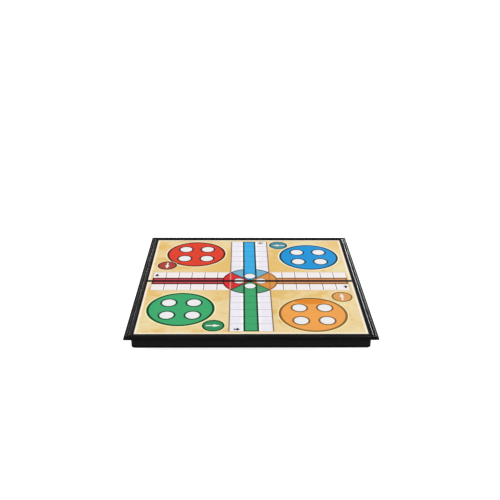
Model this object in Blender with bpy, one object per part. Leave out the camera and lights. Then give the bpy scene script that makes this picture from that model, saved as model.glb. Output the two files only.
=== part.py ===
"""Folding board box for a race game: two moulded half shells that carry the playing face and fold
face outwards into a flat case. Metres, +Z up. X runs along the fold, the near half lies at -Y, and
the rims of both trays stand on Z = 0."""

import math

import bmesh
import bpy
from mathutils import Matrix, Vector

# Overall size and fits
board_width = 0.250
half_depth = 0.125
total_height = 0.015
clearance = 0.0003
fold_gap = 0.0003
overrun = 0.001

# Rail round the playing face, from its outer edge inwards
rail_width = 0.0087
flange_thickness = 0.0023
flange_corner_radius = 0.0008
edge_round = 0.00075
outer_bead_inset = 0.0021
outer_bead_width = 0.0014
groove_width = 0.0011
inner_bead_width = 0.0021
bead_height = 0.00055

# Tray walls, deck and fold wall
wall_inset = 0.0061
wall_thickness = 0.0020
wall_corner_radius = 0.0045
rim_chamfer = 0.0003
deck_thickness = 0.0013
fold_wall = 0.0018
lip_width = 0.0011

# Printed sheet and the steel plate under it
sheet_drop = 0.00015
sheet_thickness = 0.0003
plate_thickness = 0.0004
ledge_width = 0.0030
recess_corner_radius = 0.0010

# Link hinges: each half turns about its own pin, and the links join the pins
spine_radius = 0.00285
pin_radius = 0.00075
pin_clearance = 0.0002
link_setback = 0.00015
link_width = 0.0040
hinge_offset = 0.080
ear_width = 0.0047
block_back_wall = 0.0016

# Magnets that hold the closed case
magnet_radius = 0.0040
magnet_thickness = 0.0020
boss_wall = 0.0010
boss_setback = 0.0003
boss_overlap = 0.0005

# Facets
corner_steps = 8
bead_steps = 8
edge_steps = 4
round_sides = 32
pin_sides = 24

# Heights worked out from the sizes above, from the rail down
half_width = board_width / 2
rail_base = total_height - bead_height
sheet_top = rail_base - sheet_drop
sheet_bottom = sheet_top - sheet_thickness
ledge_top = sheet_bottom - clearance
plate_top = ledge_top
plate_bottom = plate_top - plate_thickness
pocket_floor = plate_bottom - clearance
deck_bottom = pocket_floor - deck_thickness
deck_middle = (pocket_floor + deck_bottom) / 2
flange_bottom = total_height - flange_thickness

# Places worked out from the sizes above
fold_face = fold_gap / 2
pin_y = fold_face + spine_radius
pin_z = spine_radius
recess_inset = rail_width - clearance
pocket_inset = rail_width + ledge_width - clearance
lip_inner = fold_face + lip_width
sheet_fold_edge = lip_inner + clearance
pocket_fold_edge = sheet_fold_edge + ledge_width
plate_inset = pocket_inset + clearance
plate_fold_edge = pocket_fold_edge + clearance
link_end_radius = spine_radius - link_setback
slot_reach = link_end_radius + clearance
bore_radius = pin_radius + pin_clearance
slot_width = link_width + 2 * clearance
block_width = slot_width + 2 * ear_width
block_inner = pin_y + slot_reach + block_back_wall
pin_length = block_width - 2 * clearance
boss_radius = magnet_radius + clearance + boss_wall
boss_inset = wall_inset + wall_thickness + boss_radius - boss_overlap
magnet_bottom = boss_setback + clearance
magnet_top = magnet_bottom + magnet_thickness


def clear_scene():
    for found in list(bpy.data.objects):
        bpy.data.objects.remove(found)


def make_material(name, colour, roughness, metallic=0.0):
    material = bpy.data.materials.new(name)
    material.use_nodes = True
    shader = material.node_tree.nodes["Principled BSDF"]
    shader.inputs["Base Color"].default_value = (*colour, 1.0)
    shader.inputs["Roughness"].default_value = roughness
    shader.inputs["Metallic"].default_value = metallic
    return material


def finish_mesh(name, work):
    bmesh.ops.recalc_face_normals(work, faces=work.faces)
    mesh = bpy.data.meshes.new(name)
    work.to_mesh(mesh)
    work.free()
    return mesh


def rounded_rectangle(low, high, radius):
    """Plan points of a rectangle with round corners, anticlockwise from its lower left corner."""
    points = []
    centres = (
        (low[0] + radius, low[1] + radius, math.pi),
        (high[0] - radius, low[1] + radius, math.pi * 1.5),
        (high[0] - radius, high[1] - radius, 0.0),
        (low[0] + radius, high[1] - radius, math.pi * 0.5),
    )
    for x, y, start in centres:
        for step in range(corner_steps + 1):
            angle = start + math.pi / 2 * step / corner_steps
            points.append((x + radius * math.cos(angle), y + radius * math.sin(angle)))
    return points


def skin_loops(name, loops):
    """One closed body through loops of equal count, each end closed by a flat face."""
    work = bmesh.new()
    rings = [[work.verts.new(point) for point in loop] for loop in loops]
    for first, second in zip(rings, rings[1:]):
        for index, here in enumerate(first):
            after = (index + 1) % len(first)
            work.faces.new((here, first[after], second[after], second[index]))
    work.faces.new(rings[0])
    work.faces.new(rings[-1])
    return finish_mesh(name, work)


def extrude_outline(name, outline, offset):
    """A flat outline of 3-D points drawn out by the offset."""
    work = bmesh.new()
    face = work.faces.new([work.verts.new(point) for point in outline])
    drawn = bmesh.ops.extrude_face_region(work, geom=[face])["geom"]
    moved = [item for item in drawn if isinstance(item, bmesh.types.BMVert)]
    bmesh.ops.translate(work, verts=moved, vec=Vector(offset))
    return finish_mesh(name, work)


def make_box(name, low, high):
    outline = [
        (low[0], low[1], low[2]),
        (high[0], low[1], low[2]),
        (high[0], high[1], low[2]),
        (low[0], high[1], low[2]),
    ]
    return extrude_outline(name, outline, (0, 0, high[2] - low[2]))


def make_rod(name, radius, length, centre, along_x, sides):
    work = bmesh.new()
    turn = Matrix.Rotation(math.pi / 2, 4, "Y") if along_x else Matrix.Identity(4)
    bmesh.ops.create_cone(
        work,
        cap_ends=True,
        segments=sides,
        radius1=radius,
        radius2=radius,
        depth=length,
        matrix=Matrix.Translation(centre) @ turn,
    )
    return finish_mesh(name, work)


def make_post(name, radius, centre, bottom, height, sides):
    """An upright rod whose foot lies at exactly the given height, centred on a plan point."""
    outline = []
    for step in range(sides):
        angle = 2 * math.pi * step / sides
        x = centre[0] + radius * math.cos(angle)
        y = centre[1] + radius * math.sin(angle)
        outline.append((x, y, bottom))
    return extrude_outline(name, outline, (0, 0, height))


def combine(mesh, tool_mesh, operation):
    """The mesh after one exact Boolean with the tool mesh."""
    body = bpy.data.objects.new("body", mesh)
    tool = bpy.data.objects.new("tool", tool_mesh)
    tool.hide_render = True
    tool.display_type = "WIRE"
    for item in (body, tool):
        bpy.context.scene.collection.objects.link(item)
    step = body.modifiers.new("step", "BOOLEAN")
    step.solver = "EXACT"
    step.operation = operation
    step.object = tool
    graph = bpy.context.evaluated_depsgraph_get()
    result = bpy.data.meshes.new_from_object(body.evaluated_get(graph))
    result.name = mesh.name
    for item in (body, tool):
        bpy.data.objects.remove(item)
    return result


def bead_points(start_inset, width):
    """Inset and height of each point over one round bead, from its outer side inwards."""
    points = []
    for step in range(bead_steps + 1):
        angle = math.pi * step / bead_steps
        inset = start_inset + width / 2 * (1 - math.cos(angle))
        points.append((inset, rail_base + bead_height * math.sin(angle)))
    return points


def shell_profile():
    """Inset from the outer edge, corner radius and height of each loop, from deck to deck."""
    inner_bead_inset = outer_bead_inset + outer_bead_width + groove_width
    rail = []
    for step in range(edge_steps + 1):
        angle = math.pi / 2 * step / edge_steps
        drop = edge_round * (1 - math.sin(angle))
        rail.append((edge_round * (1 - math.cos(angle)), rail_base - drop))
    rail += bead_points(outer_bead_inset, outer_bead_width)
    rail += bead_points(inner_bead_inset, inner_bead_width)

    inner_inset = wall_inset + wall_thickness
    inner_radius = max(wall_corner_radius - wall_thickness, rim_chamfer)
    profile = [
        (recess_inset, recess_corner_radius, ledge_top),
        (recess_inset, recess_corner_radius, rail_base),
    ]
    profile += [(inset, flange_corner_radius, height) for inset, height in reversed(rail)]
    profile += [
        (0, flange_corner_radius, flange_bottom),
        (wall_inset, wall_corner_radius, flange_bottom),
        (wall_inset, wall_corner_radius, rim_chamfer),
        (wall_inset + rim_chamfer, wall_corner_radius, 0),
        (inner_inset - rim_chamfer, inner_radius, 0),
        (inner_inset, inner_radius, rim_chamfer),
        (inner_inset, inner_radius, deck_bottom),
    ]
    return profile


def spine_outline():
    """Outline in Y and Z of what is cut away past the fold, with the round of the spine."""
    outline = [
        (-half_depth - overrun, -spine_radius),
        (pin_y, -spine_radius),
    ]
    for step in range(corner_steps + 1):
        angle = math.pi * 1.5 - math.pi / 2 * step / corner_steps
        y = pin_y + spine_radius * math.cos(angle)
        z = pin_z + spine_radius * math.sin(angle)
        outline.append((y, z))
    outline.append((fold_face, total_height + overrun))
    outline.append((-half_depth - overrun, total_height + overrun))
    return outline


def make_shell():
    loops = []
    for inset, radius, height in shell_profile():
        low = (inset - half_width, inset - half_depth)
        high = (half_width - inset, half_depth - inset)
        plan = rounded_rectangle(low, high, radius)
        loops.append([(x, y, height) for x, y in plan])
    shell = skin_loops("half_shell", loops)

    # Fold wall, lip at the fold, hinge blocks and magnet bosses
    wall_end = half_width - wall_inset - wall_thickness / 2
    lip_end = half_width - recess_inset + lip_width / 2
    additions = [
        make_box(
            "fold_wall",
            (-wall_end, -overrun, -overrun),
            (wall_end, fold_face + fold_wall, deck_middle),
        ),
        make_box(
            "fold_lip",
            (-lip_end, -overrun, deck_middle),
            (lip_end, lip_inner, sheet_top),
        ),
    ]
    for side in (-1, 1):
        centre = side * hinge_offset
        additions.append(
            make_box(
                "hinge_block",
                (centre - block_width / 2, -overrun, 0),
                (centre + block_width / 2, block_inner, deck_middle),
            )
        )
        boss_height = deck_middle - boss_setback
        boss_centre = (side * (half_width - boss_inset), half_depth - boss_inset)
        additions.append(
            make_post("boss", boss_radius, boss_centre, boss_setback, boss_height, round_sides)
        )
    for tool in additions:
        shell = combine(shell, tool, "UNION")

    # The fold side, the plate's pocket, the hinge slots and bores, and the magnets' pockets
    spine_end = half_width + overrun
    spine = [(-spine_end, y, z) for y, z in spine_outline()]
    cuts = [extrude_outline("spine", spine, (2 * spine_end, 0, 0))]
    pocket_low = (pocket_inset - half_width, pocket_fold_edge)
    pocket_high = (half_width - pocket_inset, half_depth - pocket_inset)
    pocket = rounded_rectangle(pocket_low, pocket_high, recess_corner_radius)
    pocket = [(x, y, pocket_floor) for x, y in pocket]
    cuts.append(extrude_outline("pocket", pocket, (0, 0, ledge_top + overrun - pocket_floor)))
    for side in (-1, 1):
        centre = side * hinge_offset
        cuts.append(
            make_box(
                "slot",
                (centre - slot_width / 2, -overrun, -overrun),
                (centre + slot_width / 2, pin_y + slot_reach, pin_z + slot_reach),
            )
        )
        bore_length = block_width + 2 * overrun
        bore_centre = (centre, pin_y, pin_z)
        cuts.append(make_rod("bore", bore_radius, bore_length, bore_centre, True, pin_sides))
        hole_depth = magnet_top + clearance + overrun
        hole_centre = (
            side * (half_width - boss_inset),
            half_depth - boss_inset,
            hole_depth / 2 - overrun,
        )
        hole_radius = magnet_radius + clearance
        cuts.append(
            make_rod("magnet_hole", hole_radius, hole_depth, hole_centre, False, round_sides)
        )
    for tool in cuts:
        shell = combine(shell, tool, "DIFFERENCE")
    return shell


def make_slab(name, inset, fold_edge, bottom, thickness):
    """A thin sheet that covers one half, with its corners rounded like the recess it lies in."""
    low = (inset - half_width, fold_edge)
    high = (half_width - inset, half_depth - inset)
    plan = rounded_rectangle(low, high, recess_corner_radius)
    return extrude_outline(name, [(x, y, bottom) for x, y in plan], (0, 0, thickness))


def make_link():
    """A flat link with round ends and a bore at each pin, its first pin at the origin."""
    outline = []
    for centre, start in ((0, -math.pi / 2), (-2 * pin_y, math.pi / 2)):
        for step in range(round_sides // 2 + 1):
            angle = start + math.pi * step / (round_sides // 2)
            y = centre + link_end_radius * math.cos(angle)
            z = link_end_radius * math.sin(angle)
            outline.append((-link_width / 2, y, z))
    link = extrude_outline("link", outline, (link_width, 0, 0))
    bore_length = link_width + 2 * overrun
    for centre in (0, -2 * pin_y):
        bore = make_rod("bore", bore_radius, bore_length, (0, centre, 0), True, pin_sides)
        link = combine(link, bore, "DIFFERENCE")
    return link


def place(name, mesh, material, parent, location=(0, 0, 0), turn=0.0):
    """Adds the object under its parent, at a location in the model's own frame."""
    piece = bpy.data.objects.new(name, mesh)
    bpy.context.scene.collection.objects.link(piece)
    if not mesh.materials:
        mesh.materials.append(material)
    mesh.shade_smooth()
    mesh.set_sharp_from_angle(angle=math.radians(30))
    piece.parent = parent
    piece.location = Vector(location) - parent.location
    piece.rotation_euler = (0, 0, turn)
    return piece


def add_axis(name, location):
    axis = bpy.data.objects.new(name, None)
    axis.location = location
    axis.empty_display_size = spine_radius
    bpy.context.scene.collection.objects.link(axis)
    return axis


clear_scene()

black_plastic = make_material("black_moulded_plastic", (0.012, 0.012, 0.013), 0.38)
link_plastic = make_material("black_hinge_plastic", (0.016, 0.016, 0.017), 0.45)
printed_film = make_material("printed_film", (0.80, 0.66, 0.36), 0.30)
plate_steel = make_material("tinned_steel_plate", (0.55, 0.56, 0.58), 0.35, 1.0)
pin_steel = make_material("bright_pin_steel", (0.62, 0.62, 0.64), 0.22, 1.0)
magnet_nickel = make_material("nickel_plated_magnet", (0.60, 0.58, 0.54), 0.20, 1.0)

shell_mesh = make_shell()
sheet_mesh = make_slab("sheet", rail_width, sheet_fold_edge, sheet_bottom, sheet_thickness)
plate_mesh = make_slab("plate", plate_inset, plate_fold_edge, plate_bottom, plate_thickness)
pin_mesh = make_rod("pin", pin_radius, pin_length, (0, 0, 0), True, pin_sides)
magnet_mesh = make_rod("magnet", magnet_radius, magnet_thickness, (0, 0, 0), False, round_sides)
link_mesh = make_link()

far_axis = add_axis("far_fold_axis", (0, pin_y, pin_z))
near_axis = add_axis("near_fold_axis", (0, -pin_y, pin_z))

for half, axis, facing, turn in (("far", far_axis, 1, 0.0), ("near", near_axis, -1, math.pi)):
    place(half + "_shell", shell_mesh, black_plastic, axis, turn=turn)
    place(half + "_steel_plate", plate_mesh, plate_steel, axis, turn=turn)
    place(half + "_play_sheet", sheet_mesh, printed_film, axis, turn=turn)
    for side, label in ((-1, "left"), (1, "right")):
        pin_place = (side * hinge_offset, facing * pin_y, pin_z)
        place(half + "_hinge_pin_" + label, pin_mesh, pin_steel, axis, pin_place)
        magnet_place = (
            side * (half_width - boss_inset),
            facing * (half_depth - boss_inset),
            (magnet_bottom + magnet_top) / 2,
        )
        place(half + "_magnet_" + label, magnet_mesh, magnet_nickel, axis, magnet_place)

for side, label in ((-1, "left"), (1, "right")):
    link_place = (side * hinge_offset, pin_y, pin_z)
    place("hinge_link_" + label, link_mesh, link_plastic, far_axis, link_place)
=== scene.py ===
import math

import bpy
from mathutils import Matrix, Vector


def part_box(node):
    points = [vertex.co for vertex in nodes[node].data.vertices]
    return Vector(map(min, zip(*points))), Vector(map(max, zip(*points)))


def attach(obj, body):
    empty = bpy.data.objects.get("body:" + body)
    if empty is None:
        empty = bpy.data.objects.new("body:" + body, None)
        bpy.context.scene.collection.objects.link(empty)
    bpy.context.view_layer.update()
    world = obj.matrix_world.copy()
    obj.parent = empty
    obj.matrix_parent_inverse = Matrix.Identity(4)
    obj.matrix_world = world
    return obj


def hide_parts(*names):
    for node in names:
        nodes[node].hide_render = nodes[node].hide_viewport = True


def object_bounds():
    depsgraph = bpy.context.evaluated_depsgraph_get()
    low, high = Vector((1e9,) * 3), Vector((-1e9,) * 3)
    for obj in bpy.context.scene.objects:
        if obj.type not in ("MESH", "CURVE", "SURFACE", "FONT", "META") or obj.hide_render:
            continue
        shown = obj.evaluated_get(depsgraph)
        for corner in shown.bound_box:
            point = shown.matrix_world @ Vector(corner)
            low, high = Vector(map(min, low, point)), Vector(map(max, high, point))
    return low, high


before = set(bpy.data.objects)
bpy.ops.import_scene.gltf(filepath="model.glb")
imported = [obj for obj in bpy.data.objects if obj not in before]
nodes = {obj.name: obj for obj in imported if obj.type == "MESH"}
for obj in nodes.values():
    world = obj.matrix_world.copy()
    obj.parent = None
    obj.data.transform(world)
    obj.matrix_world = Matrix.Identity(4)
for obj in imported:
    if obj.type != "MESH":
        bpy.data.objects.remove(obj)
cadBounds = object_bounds()
print("frame loaded:", len(nodes), "nodes")

mm = 0.001  # the script's sizes are millimetres, Blender's are metres


# Colour and node helpers, and the settings that many nodes share

softStep = {"interpolation_type": "SMOOTHSTEP"}
inColour = {"data_type": "RGBA"}
tinted = {"data_type": "RGBA", "blend_type": "MULTIPLY"}
absolute = {"operation": "ABSOLUTE"}
subtract = {"operation": "SUBTRACT"}
multiply = {"operation": "MULTIPLY"}
multiplyAdd = {"operation": "MULTIPLY_ADD"}
maximum = {"operation": "MAXIMUM"}
minimum = {"operation": "MINIMUM"}
over = {"operation": "GREATER_THAN"}
distance = {"operation": "DISTANCE"}
length = {"operation": "LENGTH"}


def toLinear(hexColour, share=1.0):
    # an sRGB hex colour in linear light, or a darker share of it
    channels = []
    for start in (1, 3, 5):
        value = int(hexColour[start:start + 2], 16) / 255
        value = value / 12.92 if value <= 0.04045 else ((value + 0.055) / 1.055) ** 2.4
        channels.append(value * share)
    return (*channels, 1.0)


def addNode(tree, kind, settings=None, inputs=None):
    # one node with its settings; an input takes a value, a socket, or a node's first live output
    node = tree.nodes.new("ShaderNode" + kind)
    for name, value in (settings or {}).items():
        setattr(node, name, value)
    for key, value in (inputs or {}).items():
        if isinstance(value, bpy.types.Node):
            value = next(socket for socket in value.outputs if socket.enabled)
        if isinstance(value, bpy.types.NodeSocket):
            tree.links.new(value, node.inputs[key])
        else:
            node.inputs[key].default_value = value
    return node


def startMaterial(name):
    material = bpy.data.materials.new(name)
    material.use_nodes = True
    tree = material.node_tree
    tree.nodes.clear()
    coords = addNode(tree, "TexCoord")
    inMm = addNode(
        tree, "VectorMath", {"operation": "SCALE"}, {0: coords.outputs["Object"], "Scale": 1 / mm}
    )
    return material, tree, inMm


# Modelling helpers

meshing = {
    "weld": 0.001,  # mm, under which two corners become one
    "flatAngle": 0.3,  # degrees, under which two faces count as one
    "smoothAngle": 40.0,
    "faceWeight": 100,  # how far large faces lead at a shared corner
}


def deselectAll():
    bpy.ops.object.select_all(action="DESELECT")


def selectOnly(piece):
    deselectAll()
    piece.select_set(True)
    bpy.context.view_layer.objects.active = piece


def applyPlace(piece):
    # the piece's place goes into its mesh, so its object sits at the origin
    selectOnly(piece)
    bpy.ops.object.transform_apply(location=True, rotation=True, scale=True)


def applyBevel(piece, width, segments, angle):
    selectOnly(piece)
    bevel = piece.modifiers.new("edges", "BEVEL")
    bevel.width = width * mm
    bevel.segments = segments
    bevel.limit_method = "ANGLE"
    bevel.angle_limit = math.radians(angle)
    bpy.ops.object.modifier_apply(modifier=bevel.name)


def smoothByAngle(piece):
    # the long faces hold their own normals, so that no rounded end shades them along their length
    selectOnly(piece)
    bpy.ops.object.shade_smooth_by_angle(angle=math.radians(meshing["smoothAngle"]))
    weights = piece.modifiers.new("weights", "WEIGHTED_NORMAL")
    weights.keep_sharp = True
    weights.weight = meshing["faceWeight"]
    bpy.ops.object.modifier_apply(modifier=weights.name)


def dress(piece, material, body, slot, *replaced):
    piece.data.materials.clear()
    piece.data.materials.append(material)
    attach(piece, body)
    if replaced:
        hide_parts(*replaced)


def copyToNode(pattern, node, name):
    # a copy with its own mesh, moved to the middle of its node's box
    low, high = (Vector(corner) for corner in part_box(node))
    piece = pattern.copy()
    piece.data = pattern.data.copy()
    piece.name = name
    piece.location = (low + high) / 2
    bpy.context.scene.collection.objects.link(piece)
    applyPlace(piece)
    return piece


def mergedCopy(nodeName, name):
    # the CAD solid's shape as one welded mesh, its flat faces whole again
    source = nodes[nodeName]
    piece = source.copy()
    piece.data = source.data.copy()
    piece.name = name
    piece.parent = None
    piece.matrix_world = Matrix.Identity(4)
    for key in list(piece.keys()):
        del piece[key]
    bpy.context.scene.collection.objects.link(piece)
    selectOnly(piece)
    bpy.ops.object.mode_set(mode="EDIT")
    bpy.ops.mesh.select_all(action="SELECT")
    bpy.ops.mesh.remove_doubles(threshold=meshing["weld"] * mm)
    bpy.ops.mesh.dissolve_limited(angle_limit=math.radians(meshing["flatAngle"]))
    bpy.ops.object.mode_set(mode="OBJECT")
    return piece


# Camera, at the photograph's place

camera = {
    "place": (-9.98, -713.74, 374.09),  # mm from the board's middle, at the height of the table
    "pitch": 24.232,
    "yaw": -0.781,
    "roll": 0.341,
    "focal": 50.647,
    "sensor": 36.0,
    "clip": (10.0, 100000.0),
}


def makeCamera():
    data = bpy.data.cameras.new("camera")
    data.lens = camera["focal"]
    data.sensor_width = camera["sensor"]
    data.clip_start = camera["clip"][0] * mm
    data.clip_end = camera["clip"][1] * mm
    eye = bpy.data.objects.new("camera", data)
    turn = Matrix.Rotation(math.radians(camera["yaw"]), 4, "Z")
    turn = turn @ Matrix.Rotation(math.radians(90 - camera["pitch"]), 4, "X")
    turn = turn @ Matrix.Rotation(math.radians(camera["roll"]), 4, "Z")
    eye.matrix_world = Matrix.Translation(Vector(camera["place"]) * mm) @ turn
    bpy.context.scene.collection.objects.link(eye)
    bpy.context.scene.camera = eye


makeCamera()
print("camera set")


# Studio: white paper, an even sky, a soft key from the front left and a soft box behind on each side

studio = {
    "paperSide": 30000.0,
    "openingSide": 247.0,  # under the board, a little smaller than it is
    "lowerGap": 0.6,
    "paperColour": "#CBCBCB",
    "paperLift": 0.86,
    "skyColour": "#FFFFFF",
    "skyStrength": 0.58,
    "keyPlace": (-700.0, -900.0, 1500.0),
    "keySides": (900.0, 900.0),
    "keyWatts": 14.0,
    "boxPlace": (680.0, 1040.0, 150.0),
    "boxSides": (400.0, 180.0),
    "boxWatts": 21.0,
    "leftBoxPlace": (-700.0, 1040.0, 150.0),
    "leftBoxWatts": 3.6,
}


def raysThatShow(tree):
    # 1 where a surface is seen, mirrored or looked at through something clear, and 0 where it only lights
    path = addNode(tree, "LightPath")
    shows = path.outputs["Is Camera Ray"]
    for ray in ("Is Glossy Ray", "Is Transmission Ray"):
        shows = addNode(tree, "Math", maximum, {0: shows, 1: path.outputs[ray]})
    return shows


def makePaper():
    # what the eye gets: plain white, with the board's soft shadow on it
    material, tree = startMaterial("white_studio_paper")[:2]
    diffuse = addNode(tree, "BsdfDiffuse", None, {"Color": toLinear(studio["paperColour"])})
    lift = addNode(tree, "Emission", None, {"Strength": studio["paperLift"]})
    lifted = addNode(tree, "AddShader", None, {0: diffuse, 1: lift})
    surface = addNode(tree, "MixShader", None, {0: raysThatShow(tree), 1: diffuse, 2: lifted})
    addNode(tree, "OutputMaterial", None, {"Surface": surface})
    return material


def makeFloors():
    paper = makePaper()
    side = studio["paperSide"] * mm
    opening = studio["openingSide"] * mm
    deselectAll()
    bpy.ops.mesh.primitive_plane_add(size=side)
    floor = bpy.context.object
    floor.name = "floor"
    bpy.ops.object.mode_set(mode="EDIT")
    bpy.ops.mesh.select_all(action="SELECT")
    bpy.ops.mesh.inset(thickness=(side - opening) / 2)
    bpy.ops.mesh.delete(type="FACE")  # open under the trays, where the near half folds down
    bpy.ops.object.mode_set(mode="OBJECT")
    floor.visible_shadow = False  # so that the lower floor is as bright through the opening
    floor.visible_diffuse = False

    depth = cadBounds[1][2] + studio["lowerGap"] * mm
    deselectAll()
    bpy.ops.mesh.primitive_plane_add(size=side, location=(0, 0, -depth))
    lower = bpy.context.object
    lower.name = "lower_floor"
    for plane in (floor, lower):
        plane.data.materials.append(paper)


def addSoftLight(name, place, sides, watts):
    lamp = bpy.data.lights.new(name, "AREA")
    lamp.shape = "RECTANGLE"
    lamp.size = sides[0] * mm
    lamp.size_y = sides[1] * mm
    lamp.energy = watts
    holder = bpy.data.objects.new(name, lamp)
    holder.location = Vector(place) * mm
    holder.visible_camera = False
    holder.rotation_euler = (-holder.location).to_track_quat("-Z", "Y").to_euler()
    bpy.context.scene.collection.objects.link(holder)


def makeSky():
    # white where it is seen or mirrored, dimmer where it lights
    world = bpy.data.worlds.new("sky")
    world.use_nodes = True
    tree = world.node_tree
    tree.nodes.clear()
    strength = addNode(
        tree, "MapRange", None, {"Value": raysThatShow(tree), "To Min": studio["skyStrength"]}
    )
    colour = toLinear(studio["skyColour"])
    sky = addNode(tree, "Background", None, {"Color": colour, "Strength": strength})
    addNode(tree, "OutputWorld", None, {"Surface": sky})
    bpy.context.scene.world = world
    bpy.context.scene.view_settings.view_transform = "Standard"


makeFloors()
addSoftLight("key", studio["keyPlace"], studio["keySides"], studio["keyWatts"])
addSoftLight("soft_box", studio["boxPlace"], studio["boxSides"], studio["boxWatts"])
addSoftLight("left_soft_box", studio["leftBoxPlace"], studio["boxSides"], studio["leftBoxWatts"])
makeSky()
print("studio lit")


# Shells: black ABS, injection moulded, spark-textured on its flats and smoother on the rail's beads

shellLook = {
    "colour": "#080809",
    "bloom": "#252426",  # the greyer streaks that moulded black plastic has, and the painted lighter band up the walls
    "bloomFrom": (0.42, 0.62),  # of the noise, where a streak begins and is full
    "bloomShare": 0.3,
    "flow": (50.0, 50.0, 4.0),  # mm, how far a streak reaches each way
    "paintedWallLight": (1.6, 3.6, 11.2, 12.6),  # heights between which the walls are painted lighter, as if lit, with painted shade at the foot and under the flange
    "paintedWallLightShare": 0.8,
    "flatRoughness": (0.60, 0.76),
    "beadRoughness": 0.25,  # of the inner bead, which hands rub smooth
    "outerRoughness": 0.46,
    "beadsPart": 121.2,  # mm from the board's middle, between the two beads
    "shine": 0.034,
    "ior": 1.52,
    "grain": 0.45,  # the real spark grain is about 0.1 mm, drawn coarser so that it shows
    "grainDepth": 0.007,
    "grainStrength": 0.35,
    "beadFoot": 0.42,  # below the board's top
    "beadCrown": 0.10,
    "edges": (0.15, 2, 40),  # bevel in mm, steps, degrees
    "foldFrom": 0.2,
    "foldClose": 0.14,
    "footRound": 0.5,
    "footSteps": 3,
    "footFrom": 117.8,  # the foot's outer edges lie further out than this, and under footHeight
    "footHeight": 0.01,
    "ejectorCell": (50.0, 44.0, 1000.0),  # one row of cells, taller than the board
    "ejectorRadius": 3.0,
    "ejectorRing": 0.5,
    "ejectorDepth": 0.15,
    "ejectorStrength": 0.8,
    "ceilingShare": 0.7,  # of the height, under the tray's ceiling
    "downward": (-0.9, -0.99),  # of the normal, from where a face counts as an underside
}


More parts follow.
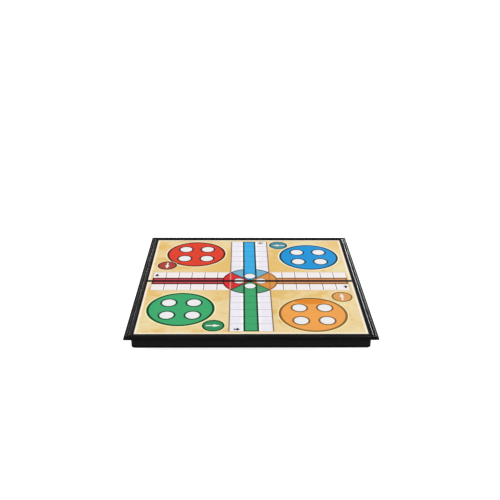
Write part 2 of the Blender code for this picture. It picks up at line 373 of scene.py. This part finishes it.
def makeShellPlastic():
    # what the eye gets: deep black with a fine dull grain, and satin lines along the beads
    material, tree, inMm = startMaterial("black_abs_injection_moulded")
    look = shellLook
    top = cadBounds[1][2] / mm
    place = addNode(tree, "SeparateXYZ", None, {0: inMm})
    height = place.outputs["Z"]

    # greyer in streaks of flow, and painted lighter up the walls as if lit, fading to painted shade at
    # their foot and under the flange
    flow = tuple(1 / reach for reach in look["flow"])
    flowed = addNode(tree, "Mapping", None, {"Vector": inMm, "Scale": flow})
    streaks = addNode(tree, "TexNoise", None, {"Vector": flowed, "Scale": 1.0, "Detail": 3.0})
    low, high = look["bloomFrom"]
    bloomed = {"Value": streaks, "From Min": low, "From Max": high, "To Max": look["bloomShare"]}
    bloom = addNode(tree, "MapRange", None, bloomed)
    foot, wallLightFull, wallLightTop, flange = look["paintedWallLight"]
    wallLightRise = {"Value": height, "From Min": foot, "From Max": wallLightFull, "To Max": look["paintedWallLightShare"]}
    rising = addNode(tree, "MapRange", softStep, wallLightRise)
    falling = addNode(
        tree, "MapRange", softStep, {"Value": height, "From Min": flange, "From Max": wallLightTop}
    )
    # painted light: the walls lighter at mid-height, painted shade at the foot and under the flange
    paintedWallLit = addNode(tree, "Math", multiply, {0: rising, 1: falling})
    streaksAndPaintedLight = addNode(tree, "Math", maximum, {0: bloom, 1: paintedWallLit})
    inks = {0: streaksAndPaintedLight, 6: toLinear(look["colour"]), 7: toLinear(look["bloom"])}
    colour = addNode(tree, "Mix", inColour, inks)

    # dull grain on the flats, satin on the beads' crowns, the inner bead the smoother
    grain = addNode(
        tree, "TexNoise", None, {"Vector": inMm, "Scale": 1 / look["grain"], "Detail": 2.0}
    )
    low, high = look["flatRoughness"]
    dull = addNode(tree, "MapRange", None, {"Value": grain, "To Min": low, "To Max": high})
    away = addNode(tree, "VectorMath", absolute, {0: inMm})
    aside = addNode(tree, "SeparateXYZ", None, {0: away})
    outward = addNode(tree, "Math", maximum, {0: aside.outputs["X"], 1: aside.outputs["Y"]})
    outer = addNode(tree, "Math", over, {0: outward, 1: look["beadsPart"]})
    smooth = {"Value": outer, "To Min": look["beadRoughness"], "To Max": look["outerRoughness"]}
    satin = addNode(tree, "MapRange", None, smooth)
    crown = {"Value": height, "From Min": top - look["beadFoot"], "From Max": top - look["beadCrown"]}
    bead = addNode(tree, "MapRange", softStep, crown)
    roughness = addNode(tree, "Mix", None, {0: bead, 2: dull, 3: satin})

    # ejector pins leave a grid of shallow rings on the undersides
    cell = look["ejectorCell"]
    centre = (cell[0] / 2, cell[1] / 2, 0.0)
    snapped = addNode(tree, "VectorMath", {"operation": "SNAP"}, {0: inMm, 1: cell})
    fromCell = addNode(tree, "VectorMath", subtract, {0: inMm, 1: snapped})
    flat = addNode(tree, "VectorMath", multiply, {0: fromCell, 1: (1.0, 1.0, 0.0)})
    fromPin = addNode(tree, "VectorMath", distance, {0: flat, 1: centre}).outputs["Value"]
    fromRing = addNode(tree, "Math", subtract, {0: fromPin, 1: look["ejectorRadius"]})
    offRing = addNode(tree, "Math", absolute, {0: fromRing})
    faded = {"Value": offRing, "From Max": look["ejectorRing"], "To Min": 1.0, "To Max": 0.0}
    ring = addNode(tree, "MapRange", softStep, faded)
    geometry = addNode(tree, "NewGeometry")
    facing = addNode(tree, "SeparateXYZ", None, {0: geometry.outputs["True Normal"]})
    level, down = look["downward"]
    under = addNode(
        tree, "MapRange", None, {"Value": facing.outputs["Z"], "From Min": level, "From Max": down}
    )
    inTray = addNode(tree, "Math", over, {0: height, 1: top * look["ceilingShare"]})
    marked = addNode(tree, "Math", multiply, {0: under, 1: inTray})
    mark = addNode(tree, "Math", multiply, {0: ring, 1: marked})
    depth = look["ejectorDepth"] * mm
    dent = {"Height": mark, "Strength": look["ejectorStrength"], "Distance": depth}
    pressed = addNode(tree, "Bump", {"invert": True}, dent)
    sparks = {"Height": grain, "Strength": look["grainStrength"], "Normal": pressed}
    bump = addNode(tree, "Bump", None, {**sparks, "Distance": look["grainDepth"] * mm})
    plastic = {"Base Color": colour, "Roughness": roughness, "Specular IOR Level": look["shine"]}
    shader = addNode(tree, "BsdfPrincipled", None, {**plastic, "IOR": look["ior"], "Normal": bump})
    addNode(tree, "OutputMaterial", None, {"Surface": shader})
    return material


def closeFold(shell, toFold):
    # the faces at the fold come forward until the halves all but touch, so that no light shows between
    selectOnly(shell)
    bpy.ops.object.mode_set(mode="EDIT")
    bpy.ops.mesh.select_mode(type="VERT")
    bpy.ops.mesh.select_all(action="DESELECT")
    bpy.ops.object.mode_set(mode="OBJECT")
    for corner in shell.data.vertices:
        corner.select = abs(corner.co.y) < shellLook["foldFrom"] * mm
    bpy.ops.object.mode_set(mode="EDIT")
    bpy.ops.transform.translate(value=(0, toFold * shellLook["foldClose"] * mm, 0))
    bpy.ops.object.mode_set(mode="OBJECT")


def roundFoot(shell):
    # the walls' outer foot is rounded, which draws a dark line where the box stands or closes
    selectOnly(shell)
    bpy.ops.object.mode_set(mode="EDIT")
    bpy.ops.mesh.select_mode(type="EDGE")
    bpy.ops.mesh.select_all(action="DESELECT")
    bpy.ops.object.mode_set(mode="OBJECT")
    reach = shellLook["footFrom"] * mm
    height = shellLook["footHeight"] * mm
    for edge in shell.data.edges:
        ends = [shell.data.vertices[index].co for index in edge.vertices]
        low = all(end.z < height for end in ends)
        out = all(max(abs(end.x), abs(end.y)) > reach for end in ends)
        edge.select = low and out
    bpy.ops.object.mode_set(mode="EDIT")
    bpy.ops.mesh.bevel(offset=shellLook["footRound"] * mm, segments=shellLook["footSteps"])
    bpy.ops.object.mode_set(mode="OBJECT")


def makeShells():
    plastic = makeShellPlastic()
    for half, toFold in (("far", -1), ("near", 1)):
        shell = mergedCopy(half + "_shell", half + "_shell_moulding")
        closeFold(shell, toFold)
        roundFoot(shell)
        applyBevel(shell, *shellLook["edges"])
        smoothByAngle(shell)
        dress(shell, plastic, half + "_half", "black_shell", half + "_shell")


makeShells()
print("shells moulded")


# Playing face: offset-printed card under a satin film

printSizes = {
    "cell": 14.8,
    "cellsInArm": 6,
    "sheetHalf": 116.3,
    "borderSoft": 3.8,
    "borderShare": 0.6,
    # painted shadow round the sheet's rim, where the card meets the rail
    "rimShadowLine": 0.5,
    "yardCentres": ((73.7, 65.0), (76.3, 64.7), (73.7, 65.0), (72.0, 65.0)),  # green, orange, red, blue
    "yardRadius": 35.8,
    "yardLine": 2.6,
    "halo": 1.4,
    "crescentAt": (65.0, -25.0),
    "crescentRadius": 30.0,
    "homeStep": 13.4,
    "homeRadius": 7.3,
    "homeLine": 2.0,
    "startCentres": ((38.2, 99.6), (38.2, 99.6), (40.6, 97.6), (36.6, 99.6)),
    "startRadius": 11.5,
    "startLine": 1.8,
    "arrowHalf": (7.4, 2.6),
    "stemShare": 0.36,  # of the arrow's half width
    "stemFromShare": 0.5,  # of the head's length
    "hubRadius": 31.4,
    "hubLine": 1.7,
    "spokeShare": 0.7,
    "hubKnot": 4.0,
    "hubDiscAt": 12.4,
    "hubDiscRadius": 6.0,
    "squareLine": 0.9,
    "squareSoft": (1.0, 4.0),  # from a square's edge, where it turns greyer
    "laneLine": 1.9,
    "sideLine": 2.8,
    "laneInset": 0.5,
    "laneCrossShade": 0.66,
    "armLine": 1.3,
    # painted shade in the seam at the fold, this wide on each sheet
    "foldShadeWidth": 0.8,
    "markAt": (14.4, 106.8),
    "markHalf": (3.2, 3.1),
    "bleed": 0.16,
    "mottle": 26.0,
    "mottleRoughness": 0.6,
    # each patch: the noise where it begins, where it is full, its ink
    "patches": ((0.48, 0.66, "parchmentDeep"), (0.48, 0.32, "parchmentPale")),
    # each golden patch: x, y, how far it is full, where it is gone, its share
    "goldenPatches": ((0.0, 20.0, 40.0, 85.0, 0.85), (118.0, 104.0, 4.0, 38.0, 0.75)),
    "inkPatch": 9.0,  # mm, over which the ink is a shade darker or paler
    "inkShade": (0.93, 1.05),
    "fibre": 0.35,  # card fibre is about 0.05 mm, drawn coarser so that it shows
    "fibreShade": (0.97, 1.03),
    "ripple": 3.0,
    "rippleDepth": 0.02,
    "rippleStrength": 0.15,
    "filmRoughness": (0.42, 0.54),
    "filmShine": 0.025,
    "filmIor": 1.5,
    "sheetCorner": 1.0,
    "cornerSteps": 6,
    "edges": (0.05, 1, 60),  # bevel in mm, steps, degrees
}
printInks = {
    "parchment": "#E8CF9A",
    "parchmentDeep": "#E0BA6A",
    "parchmentPale": "#E7DAA8",
    "border": "#F8ECD6",
    "greenHalo": "#F5F0B8",
    "orangeHalo": "#EEE2A8",
    "blueHalo": "#F6F6E4",
    "redHalo": "#F4EDC6",
    "square": "#F7F6F6",
    "squareMiddle": "#E9E6F0",
    "sideSquare": "#EFE7E6",
    "squareEdge": "#A39DA8",
    "squareCross": "#6B6064",
    "armEdge": "#86705F",
    "armSide": "#D8D0CE",
    "hubEdge": "#C9907C",
    "hubEdgeRight": "#B9772F",
    "spot": "#E9E9EA",
    # print black; also the painted shade in the seam at the fold and the painted shadow round the sheet's
    # rim
    "mark": "#171413",
    "green": "#3BA66B",
    "orange": "#ECA04C",
    "orangeDeep": "#DF8422",
    "blue": "#138FD2",
    "red": "#DA3E28",
    "greenStart": "#2E8C58",
    "orangeStart": "#DA9A54",
    "blueStart": "#468A96",
    "redStart": "#A64134",
    "greenLine": "#0B3D22",
    "orangeLine": "#845B28",
    "blueLine": "#17383F",
    "redLine": "#4E1010",
    # the red and orange lanes in painted shade, in the seam at the fold
    "redFoldShade": "#3C0406",
    "orangeFoldShade": "#351804",
    "greenLane": "#3DA46B",
    "orangeLane": "#D08A5E",
    "blueLane": "#38AAE1",
    "redLane": "#BE4650",
    "greenHub": "#4A986A",
    "blueHub": "#6FAECB",
    "orangeHub": "#D68E44",
    "redHub": "#D32A30",
}


def layInks(tree, face, layers):
    # each layer is ink where a distance is under its edge, with a soft step as wide as the ink's bleed
    bleed = printSizes["bleed"]
    for fromShape, edge, ink in layers:
        step = {"Value": fromShape, "From Min": edge - bleed, "From Max": edge + bleed}
        mask = addNode(tree, "MapRange", softStep, {**step, "To Min": 1.0, "To Max": 0.0})
        face = addNode(tree, "Mix", inColour, {0: mask, 6: face, 7: ink})
    return face


def pickInQuarter(tree, ways, values):
    # four colours or places, shared out over the board by two halvings
    kind, low, high = ("RGBA", 6, 7) if len(values[0]) == 4 else ("VECTOR", 4, 5)
    pairs = []
    for way, pair in zip(ways, (values[:2], values[2:])):
        pairs.append(addNode(tree, "Mix", {"data_type": kind}, {0: way, low: pair[0], high: pair[1]}))
    return addNode(tree, "Mix", {"data_type": kind}, {0: ways[2], low: pairs[0], high: pairs[1]})


def distanceFromArrow(tree, source, half):
    # the head is a wedge that opens from the tip, and the stem runs on behind it
    headLength, headHalf = half
    parts = addNode(tree, "SeparateXYZ", None, {0: source})
    fromTip = addNode(tree, "Math", {"operation": "ADD"}, {0: parts.outputs["X"], 1: headLength})
    aside = addNode(tree, "Math", absolute, {0: parts.outputs["Y"]})
    wedge = addNode(tree, "Math", multiplyAdd, {0: fromTip, 1: -headHalf / headLength, 2: aside})
    pastBarb = addNode(tree, "Math", subtract, {0: fromTip, 1: headLength})
    head = addNode(tree, "Math", maximum, {0: wedge, 1: pastBarb})
    pastEnd = addNode(tree, "Math", subtract, {0: fromTip, 1: headLength * 2})
    offStem = addNode(tree, "Math", subtract, {0: aside, 1: headHalf * printSizes["stemShare"]})
    stem = addNode(tree, "Math", maximum, {0: pastEnd, 1: offStem})
    stemFrom = headLength * printSizes["stemFromShare"]
    beforeStem = addNode(tree, "Math", subtract, {0: stemFrom, 1: fromTip})
    stem = addNode(tree, "Math", maximum, {0: stem, 1: beforeStem})
    return addNode(tree, "Math", minimum, {0: head, 1: stem})


def layParchment(tree, inMm, board, along, ink):
    # large soft patches, golden round two places and paler towards the sheet's border
    sizes = printSizes
    patchy = {"Scale": 1 / sizes["mottle"], "Detail": 5.0, "Roughness": sizes["mottleRoughness"]}
    mottle = addNode(tree, "TexNoise", None, {"Vector": inMm, **patchy})
    face = ink["parchment"]
    for low, high, patch in sizes["patches"]:
        share = addNode(
            tree, "MapRange", softStep, {"Value": mottle, "From Min": low, "From Max": high}
        )
        face = addNode(tree, "Mix", inColour, {0: share, 6: face, 7: ink[patch]})
    for x, y, full, gone, share in sizes["goldenPatches"]:
        fromPatch = addNode(tree, "VectorMath", distance, {0: board, 1: (x, y, 0.0)}).outputs["Value"]
        fade = {"From Min": full, "From Max": gone, "To Min": share, "To Max": 0.0}
        golden = addNode(tree, "MapRange", softStep, {"Value": fromPatch, **fade})
        face = addNode(tree, "Mix", inColour, {0: golden, 6: face, 7: ink["parchmentDeep"]})
    low = sizes["sheetHalf"] - sizes["borderSoft"]
    high = low + sizes["borderSoft"] * sizes["borderShare"]
    border = addNode(tree, "MapRange", softStep, {"Value": along, "From Min": low, "From Max": high})
    return addNode(tree, "Mix", inColour, {0: border, 6: face, 7: ink["border"]})


def coverWithFilm(tree, inMm, face):
    # the ink lies a little uneven on the card's fibre, and the film over it has a faint ripple
    sizes = printSizes
    tones = []
    for reach, detail, shades in (
        (sizes["inkPatch"], 3.0, sizes["inkShade"]),
        (sizes["fibre"], 1.0, sizes["fibreShade"]),
    ):
        noise = addNode(tree, "TexNoise", None, {"Vector": inMm, "Scale": 1 / reach, "Detail": detail})
        shade = {"Value": noise, "To Min": shades[0], "To Max": shades[1]}
        tones.append(addNode(tree, "MapRange", None, shade))
    tone = addNode(tree, "Math", multiply, {0: tones[0], 1: tones[1]})
    grey = addNode(tree, "CombineColor", None, {0: tone, 1: tone, 2: tone})
    uneven = addNode(tree, "Mix", tinted, {0: 1.0, 6: face, 7: grey})
    ripple = addNode(
        tree, "TexNoise", None, {"Vector": inMm, "Scale": 1 / sizes["ripple"], "Detail": 2.0}
    )
    low, high = sizes["filmRoughness"]
    roughness = addNode(tree, "MapRange", None, {"Value": ripple, "To Min": low, "To Max": high})
    wave = {"Strength": sizes["rippleStrength"], "Distance": sizes["rippleDepth"] * mm}
    bump = addNode(tree, "Bump", None, {"Height": ripple, **wave})
    film = {"Specular IOR Level": sizes["filmShine"], "IOR": sizes["filmIor"], "Normal": bump}
    return addNode(tree, "BsdfPrincipled", None, {"Base Color": uneven, "Roughness": roughness, **film})


def makePrint():
    # what the eye gets: flat bright inks with dark outlines on mottled parchment, under a soft sheen
    material, tree, inMm = startMaterial("offset_printed_card_under_satin_film")
    sizes = printSizes
    ink = {name: toLinear(value) for name, value in printInks.items()}
    armHalf = sizes["cell"] * 1.5  # an arm is three squares wide
    laneHalf = sizes["cell"] / 2
    armEnd = armHalf + sizes["cell"] * sizes["cellsInArm"]
    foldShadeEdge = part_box("far_play_sheet")[0][1] / mm + sizes["foldShadeWidth"]

    # places: x and y, their sizes, the arm's own coordinates and the quarter's own coordinates
    place = addNode(tree, "SeparateXYZ", None, {0: inMm})
    x, y = place.outputs["X"], place.outputs["Y"]
    sizeX = addNode(tree, "Math", absolute, {0: x})
    sizeY = addNode(tree, "Math", absolute, {0: y})
    across = addNode(tree, "Math", minimum, {0: sizeX, 1: sizeY})
    along = addNode(tree, "Math", maximum, {0: sizeX, 1: sizeY})
    product = addNode(tree, "Math", multiply, {0: x, 1: y})
    turned = addNode(tree, "Math", {"operation": "LESS_THAN"}, {0: product, 1: 0.0})
    first = addNode(tree, "Mix", None, {0: turned, 2: sizeX, 3: sizeY})
    second = addNode(tree, "Mix", None, {0: turned, 2: sizeY, 3: sizeX})
    quarter = addNode(tree, "CombineXYZ", None, {0: first, 1: second})
    board = addNode(tree, "CombineXYZ", None, {0: x, 1: y})
    arm = addNode(tree, "CombineXYZ", None, {0: across, 1: along})

    # each player's ink, by quarter for the yards and by arm for the lanes and the hub
    right = addNode(tree, "Math", over, {0: x, 1: 0.0})
    far = addNode(tree, "Math", over, {0: y, 1: 0.0})
    sideways = addNode(tree, "Math", over, {0: sizeX, 1: sizeY})
    byYard = (right, right, far)
    byArm = (far, right, sideways)
    players = {}
    for use, ways, inks in (
        ("yard", byYard, ("green", "orange", "red", "blue")),
        ("halo", byYard, ("greenHalo", "orangeHalo", "redHalo", "blueHalo")),
        ("start", byYard, ("greenStart", "orangeStart", "redStart", "blueStart")),
        ("yardLine", byYard, ("greenLine", "orangeLine", "redLine", "blueLine")),
        ("lane", byArm, ("greenLane", "blueLane", "redLane", "orangeLane")),
        ("laneLine", byArm, ("greenLine", "blueLine", "redLine", "orangeLine")),
        ("hub", byArm, ("greenHub", "blueHub", "redHub", "orangeHub")),
    ):
        players[use] = pickInQuarter(tree, ways, [ink[name] for name in inks])
    shade = sizes["laneCrossShade"]
    crossShade = (shade, shade, shade, 1.0)
    laneCross = addNode(tree, "Mix", tinted, {0: 1.0, 6: players["lane"], 7: crossShade})

    # inks that change from left to right, or from the near and far arms to the side arms
    shared = {}
    for use, way, low, high in (
        # the side lanes in painted shade in the seam at the fold
        ("fold", right, "redFoldShade", "orangeFoldShade"),
        ("hubEdge", right, "hubEdge", "hubEdgeRight"),
        ("squareCross", sideways, "squareEdge", "squareCross"),
        ("squareMiddle", sideways, "squareMiddle", "sideSquare"),
        ("armEdge", sideways, "armEdge", "armSide"),
    ):
        shared[use] = addNode(tree, "Mix", inColour, {0: way, 6: ink[low], 7: ink[high]})

    # distances from the yards and their home spots, the start spots and the arrows
    yardCentre = pickInQuarter(tree, byYard, [(*centre, 0.0) for centre in sizes["yardCentres"]])
    fromYard = addNode(tree, "VectorMath", subtract, {0: quarter, 1: yardCentre})
    yard = addNode(tree, "VectorMath", length, {0: fromYard}).outputs["Value"]
    folded = addNode(tree, "VectorMath", absolute, {0: fromYard})
    homePlace = (sizes["homeStep"], sizes["homeStep"], 0.0)
    home = addNode(tree, "VectorMath", distance, {0: folded, 1: homePlace}).outputs["Value"]
    startCentre = pickInQuarter(tree, byYard, [(*centre, 0.0) for centre in sizes["startCentres"]])
    fromStart = addNode(tree, "VectorMath", subtract, {0: quarter, 1: startCentre})
    start = addNode(tree, "VectorMath", length, {0: fromStart}).outputs["Value"]
    fromMark = addNode(tree, "VectorMath", subtract, {0: quarter, 1: (*sizes["markAt"], 0.0)})
    startArrow = distanceFromArrow(tree, fromStart, sizes["arrowHalf"])
    markArrow = distanceFromArrow(tree, fromMark, sizes["markHalf"])

    # the orange yard's darker crescent is what one more disc covers of it
    orangeFirst, orangeSecond = sizes["yardCentres"][1]
    discs = []
    for centre, radius in (
        ((*sizes["crescentAt"], 0.0), sizes["crescentRadius"]),
        ((orangeSecond, -orangeFirst, 0.0), sizes["yardRadius"]),
    ):
        fromDisc = addNode(tree, "VectorMath", distance, {0: board, 1: centre}).outputs["Value"]
        discs.append(addNode(tree, "Math", subtract, {0: fromDisc, 1: radius}))
    crescent = addNode(tree, "Math", maximum, {0: discs[0], 1: discs[1]})

    # distances from the hub and from lines: rings, lane sides, arm edges and the hub's diagonals
    hub = addNode(tree, "VectorMath", length, {0: board}).outputs["Value"]
    discPlace = (0.0, sizes["hubDiscAt"], 0.0)
    hubDisc = addNode(tree, "VectorMath", distance, {0: arm, 1: discPlace}).outputs["Value"]
    gaps = {}
    for name, source, middle in (
        ("yard", yard, sizes["yardRadius"] - sizes["yardLine"] / 2),
        ("start", start, sizes["startRadius"] - sizes["startLine"] / 2),
        ("hub", hub, sizes["hubRadius"] - sizes["hubLine"] / 2),
        ("lane", across, laneHalf - sizes["laneInset"]),
        ("laneEnd", along, armEnd - sizes["laneLine"] / 2),
        ("arm", across, armHalf),
        ("upright", sizeX, armHalf),
        ("diagonal", along, across),
    ):
        offset = addNode(tree, "Math", subtract, {0: source, 1: middle})
        gaps[name] = addNode(tree, "Math", absolute, {0: offset})

    # squares and arms; what lies past an edge is above zero
    pastArm = addNode(tree, "Math", subtract, {0: along, 1: armEnd})
    offArm = addNode(tree, "Math", subtract, {0: across, 1: armHalf})
    fromLane = addNode(tree, "Math", subtract, {0: across, 1: laneHalf})
    pastHub = addNode(tree, "Math", subtract, {0: hub, 1: sizes["hubRadius"]})
    inArm = addNode(tree, "Math", maximum, {0: pastArm, 1: offArm})
    fromSquare = addNode(tree, "Math", subtract, {0: along, 1: armHalf})
    toCross = addNode(tree, "Math", {"operation": "PINGPONG"}, {0: fromSquare, 1: laneHalf})
    toCrossTwice = addNode(tree, "Math", multiply, {0: toCross, 1: 2.0})
    toEdge = addNode(tree, "Math", minimum, {0: toCrossTwice, 1: fromLane})

    # the near and far lanes run on over the hub to its discs, the side lanes stop at it
    offSide = addNode(tree, "Math", subtract, {0: sideways, 1: 1.0})
    hubStop = addNode(tree, "Math", multiplyAdd, {0: offSide, 1: armEnd, 2: sizes["hubRadius"]})
    overHub = addNode(tree, "Math", subtract, {0: hubStop, 1: hub})
    lanePast = addNode(tree, "Math", maximum, {0: pastArm, 1: overHub})
    inLane = addNode(tree, "Math", maximum, {0: lanePast, 1: fromLane})
    halfLines = {"To Min": sizes["laneLine"] / 2, "To Max": sizes["sideLine"] / 2}
    laneLine = addNode(tree, "MapRange", None, {"Value": sideways, **halfLines})

    # lines as wide as their ink, each cut off where it ends
    cut = {}
    for name, source, halfWidth, end in (
        ("laneSide", gaps["lane"], laneLine, lanePast),
        ("laneStop", gaps["laneEnd"], sizes["laneLine"] / 2, fromLane),
        ("armSide", gaps["arm"], sizes["armLine"] / 2, pastArm),
        # painted shade in the seam at the fold, across the side arms
        ("fold", sizeY, foldShadeEdge, pastArm),
        ("upright", gaps["upright"], sizes["armLine"] / 2, pastHub),
        ("diagonal", gaps["diagonal"], sizes["hubLine"] * sizes["spokeShare"], pastHub),
    ):
        line = addNode(tree, "Math", subtract, {0: source, 1: halfWidth})
        cut[name] = addNode(tree, "Math", maximum, {0: line, 1: end})

    # white squares, greyer towards their middles
    low, high = sizes["squareSoft"]
    inSquare = addNode(tree, "MapRange", softStep, {"Value": toEdge, "From Min": low, "From Max": high})
    square = addNode(tree, "Mix", inColour, {0: inSquare, 6: ink["square"], 7: shared["squareMiddle"]})
    square = layInks(tree, square, [(toCross, sizes["squareLine"] / 2, shared["squareCross"])])
    lane = layInks(tree, players["lane"], [(toCross, sizes["squareLine"] / 2, laneCross)])

    face = layParchment(tree, inMm, board, along, ink)
    toRim = addNode(tree, "Math", subtract, {0: sizes["sheetHalf"], 1: along})
    discLine = sizes["hubLine"] * sizes["spokeShare"]
    face = layInks(
        tree,
        face,
        [
            (yard, sizes["yardRadius"] + sizes["halo"], players["halo"]),
            (yard, sizes["yardRadius"], players["yard"]),
            (crescent, 0.0, ink["orangeDeep"]),
            (gaps["yard"], sizes["yardLine"] / 2, players["yardLine"]),
            (home, sizes["homeRadius"] + sizes["homeLine"], players["yardLine"]),
            (home, sizes["homeRadius"], ink["spot"]),
            (start, sizes["startRadius"] + sizes["halo"] / 2, players["halo"]),
            (start, sizes["startRadius"], players["start"]),
            (gaps["start"], sizes["startLine"] / 2, players["yardLine"]),
            (startArrow, 0.0, ink["spot"]),
            (inArm, 0.0, square),
            (cut["armSide"], 0.0, shared["armEdge"]),
            (hub, sizes["hubRadius"], players["hub"]),
            (gaps["hub"], sizes["hubLine"] / 2, players["laneLine"]),
            (cut["upright"], 0.0, shared["hubEdge"]),
            (inLane, 0.0, lane),
            (cut["laneSide"], 0.0, players["laneLine"]),
            (cut["laneStop"], 0.0, players["laneLine"]),
            (cut["diagonal"], 0.0, players["laneLine"]),
            (hub, sizes["hubKnot"], ink["mark"]),
            (hubDisc, sizes["hubDiscRadius"] + discLine, players["laneLine"]),
            (hubDisc, sizes["hubDiscRadius"], ink["spot"]),
            # painted shade in the seam at the fold, over the sheets' whole width
            (sizeY, foldShadeEdge, ink["mark"]),
            (cut["fold"], 0.0, shared["fold"]),
            (markArrow, 0.0, ink["mark"]),
            # painted shadow round the sheet's rim, where the card meets the rail
            (toRim, sizes["rimShadowLine"], ink["mark"]),
        ],
    )
    shader = coverWithFilm(tree, inMm, face)
    addNode(tree, "OutputMaterial", None, {"Surface": shader})
    return material


def makeSheet():
    # one sheet at the origin, as big as its node's box, with round corners
    low, high = (Vector(corner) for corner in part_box("far_play_sheet"))
    width, depth, thickness = high - low
    deselectAll()
    bpy.ops.mesh.primitive_plane_add(size=1.0, location=(0, 0, thickness / 2))
    sheet = bpy.context.object
    bpy.ops.object.mode_set(mode="EDIT")
    bpy.ops.mesh.select_all(action="SELECT")
    bpy.ops.transform.resize(value=(width, depth, 1.0))
    corner = printSizes["sheetCorner"] * mm
    bpy.ops.mesh.bevel(offset=corner, segments=printSizes["cornerSteps"], affect="VERTICES")
    bpy.ops.mesh.select_all(action="SELECT")
    bpy.ops.mesh.extrude_region_move(TRANSFORM_OT_translate={"value": (0, 0, -thickness)})
    bpy.ops.mesh.select_all(action="SELECT")
    bpy.ops.mesh.normals_make_consistent(inside=False)
    bpy.ops.object.mode_set(mode="OBJECT")
    applyPlace(sheet)
    applyBevel(sheet, *printSizes["edges"])
    return sheet


def makeSheets():
    inks = makePrint()
    pattern = makeSheet()
    for half in ("far", "near"):
        node = half + "_play_sheet"
        sheet = copyToNode(pattern, node, half + "_printed_sheet")
        dress(sheet, inks, half + "_half", "printed_film", node)
    bpy.data.objects.remove(pattern)


makeSheets()
print("playing face printed")


# Steel: tinned plates under the sheets, drawn hinge pins and nickel-plated magnets

steelLook = {
    "tin": ("#BFC2C4", 0.38, 0.08, (6.0, 6.0, 6.0)),  # colour, roughness, its spread, a patch's sides
    "drawn": ("#C8C8CA", 0.24, 0.10, (6.0, 0.12, 0.12)),  # lines along the pin
    "nickel": ("#CFCBC1", 0.18, 0.05, (2.5, 2.5, 2.5)),
    "darkShare": 0.86,
    "pinEdges": (0.2, 2, 60),  # bevel in mm, steps, degrees
    "pinSides": 32,
    "magnetEdges": (0.25, 2, 60),
    "magnetSides": 48,
}


def makeMetal(name, colour, roughness, spread, patch):
    # what the eye gets: a bright metal whose sheen breaks into patches or lines
    material, tree, inMm = startMaterial(name)
    stretch = tuple(1 / side for side in patch)
    stretched = addNode(tree, "Mapping", None, {"Vector": inMm, "Scale": stretch})
    noise = addNode(tree, "TexNoise", None, {"Vector": stretched, "Scale": 1.0, "Detail": 3.0})
    sheen = {"Value": noise, "To Min": roughness - spread, "To Max": roughness + spread}
    rough = addNode(tree, "MapRange", None, sheen)
    dark = toLinear(colour, steelLook["darkShare"])
    tone = addNode(tree, "Mix", inColour, {0: noise, 6: dark, 7: toLinear(colour)})
    metal = {"Base Color": tone, "Roughness": rough, "Metallic": 1.0}
    shader = addNode(tree, "BsdfPrincipled", None, metal)
    addNode(tree, "OutputMaterial", None, {"Surface": shader})
    return material


def makePlates():
    tin = makeMetal("tinned_steel_rolled", *steelLook["tin"])
    for half in ("far", "near"):
        plate = nodes[half + "_steel_plate"]
        plate.data.materials.clear()
        plate.data.materials.append(tin)


def makeRound(node, along, edges, sides):
    # a turned disc or pin at the origin, as big as its node's box, with rounded rims
    low, high = (Vector(corner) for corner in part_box(node))
    size = high - low
    deselectAll()
    bpy.ops.mesh.primitive_cylinder_add(vertices=sides, radius=size[1] / 2, depth=size[along])
    piece = bpy.context.object
    if along == 0:
        bpy.ops.object.mode_set(mode="EDIT")
        bpy.ops.mesh.select_all(action="SELECT")
        bpy.ops.transform.rotate(value=math.pi / 2, orient_axis="Y", center_override=(0, 0, 0))
        bpy.ops.object.mode_set(mode="OBJECT")
    applyPlace(piece)
    applyBevel(piece, *edges)
    smoothByAngle(piece)
    return piece


def makePinsAndMagnets():
    look = steelLook
    drawn = makeMetal("bright_steel_drawn", *look["drawn"])
    plated = makeMetal("neodymium_nickel_plated", *look["nickel"])
    onePin = makeRound("far_hinge_pin_left", 0, look["pinEdges"], look["pinSides"])
    oneMagnet = makeRound("far_magnet_left", 2, look["magnetEdges"], look["magnetSides"])
    for half in ("far", "near"):
        for side in ("left", "right"):
            node = half + "_hinge_pin_" + side
            pin = copyToNode(onePin, node, node + "_turned")
            dress(pin, drawn, half + "_half", "hinge_pin", node)
            node = half + "_magnet_" + side
            magnet = copyToNode(oneMagnet, node, node + "_disc")
            dress(magnet, plated, half + "_half", "magnet", node)
    for pattern in (onePin, oneMagnet):
        bpy.data.objects.remove(pattern)


makePlates()
makePinsAndMagnets()
print("steel and magnets made")


# Hinge links: black acetal, moulded

linkLook = {
    "colour": "#141415",
    "flowColour": "#1D1D1E",
    "flow": 1.6,
    "roughness": (0.30, 0.44),
    "shine": 0.25,
    "ior": 1.48,
    "edges": (0.25, 2, 50),  # bevel in mm, steps, degrees
}


def makeLinkPlastic():
    # what the eye gets: a smoother, waxier black than the shells
    material, tree, inMm = startMaterial("black_acetal_moulded")
    look = linkLook
    flow = addNode(tree, "TexNoise", None, {"Vector": inMm, "Scale": 1 / look["flow"], "Detail": 2.0})
    low, high = look["roughness"]
    rough = addNode(tree, "MapRange", None, {"Value": flow, "To Min": low, "To Max": high})
    inks = {0: flow, 6: toLinear(look["colour"]), 7: toLinear(look["flowColour"])}
    tone = addNode(tree, "Mix", inColour, inks)
    plastic = {"Base Color": tone, "Roughness": rough, "Specular IOR Level": look["shine"]}
    shader = addNode(tree, "BsdfPrincipled", None, {**plastic, "IOR": look["ior"]})
    addNode(tree, "OutputMaterial", None, {"Surface": shader})
    return material


def makeLinks():
    plastic = makeLinkPlastic()
    for side in ("left", "right"):
        node = "hinge_link_" + side
        link = mergedCopy(node, node + "_moulding")
        applyBevel(link, *linkLook["edges"])
        smoothByAngle(link)
        dress(link, plastic, "hinge_links", "hinge_link", node)


makeLinks()
print("hinge links made")
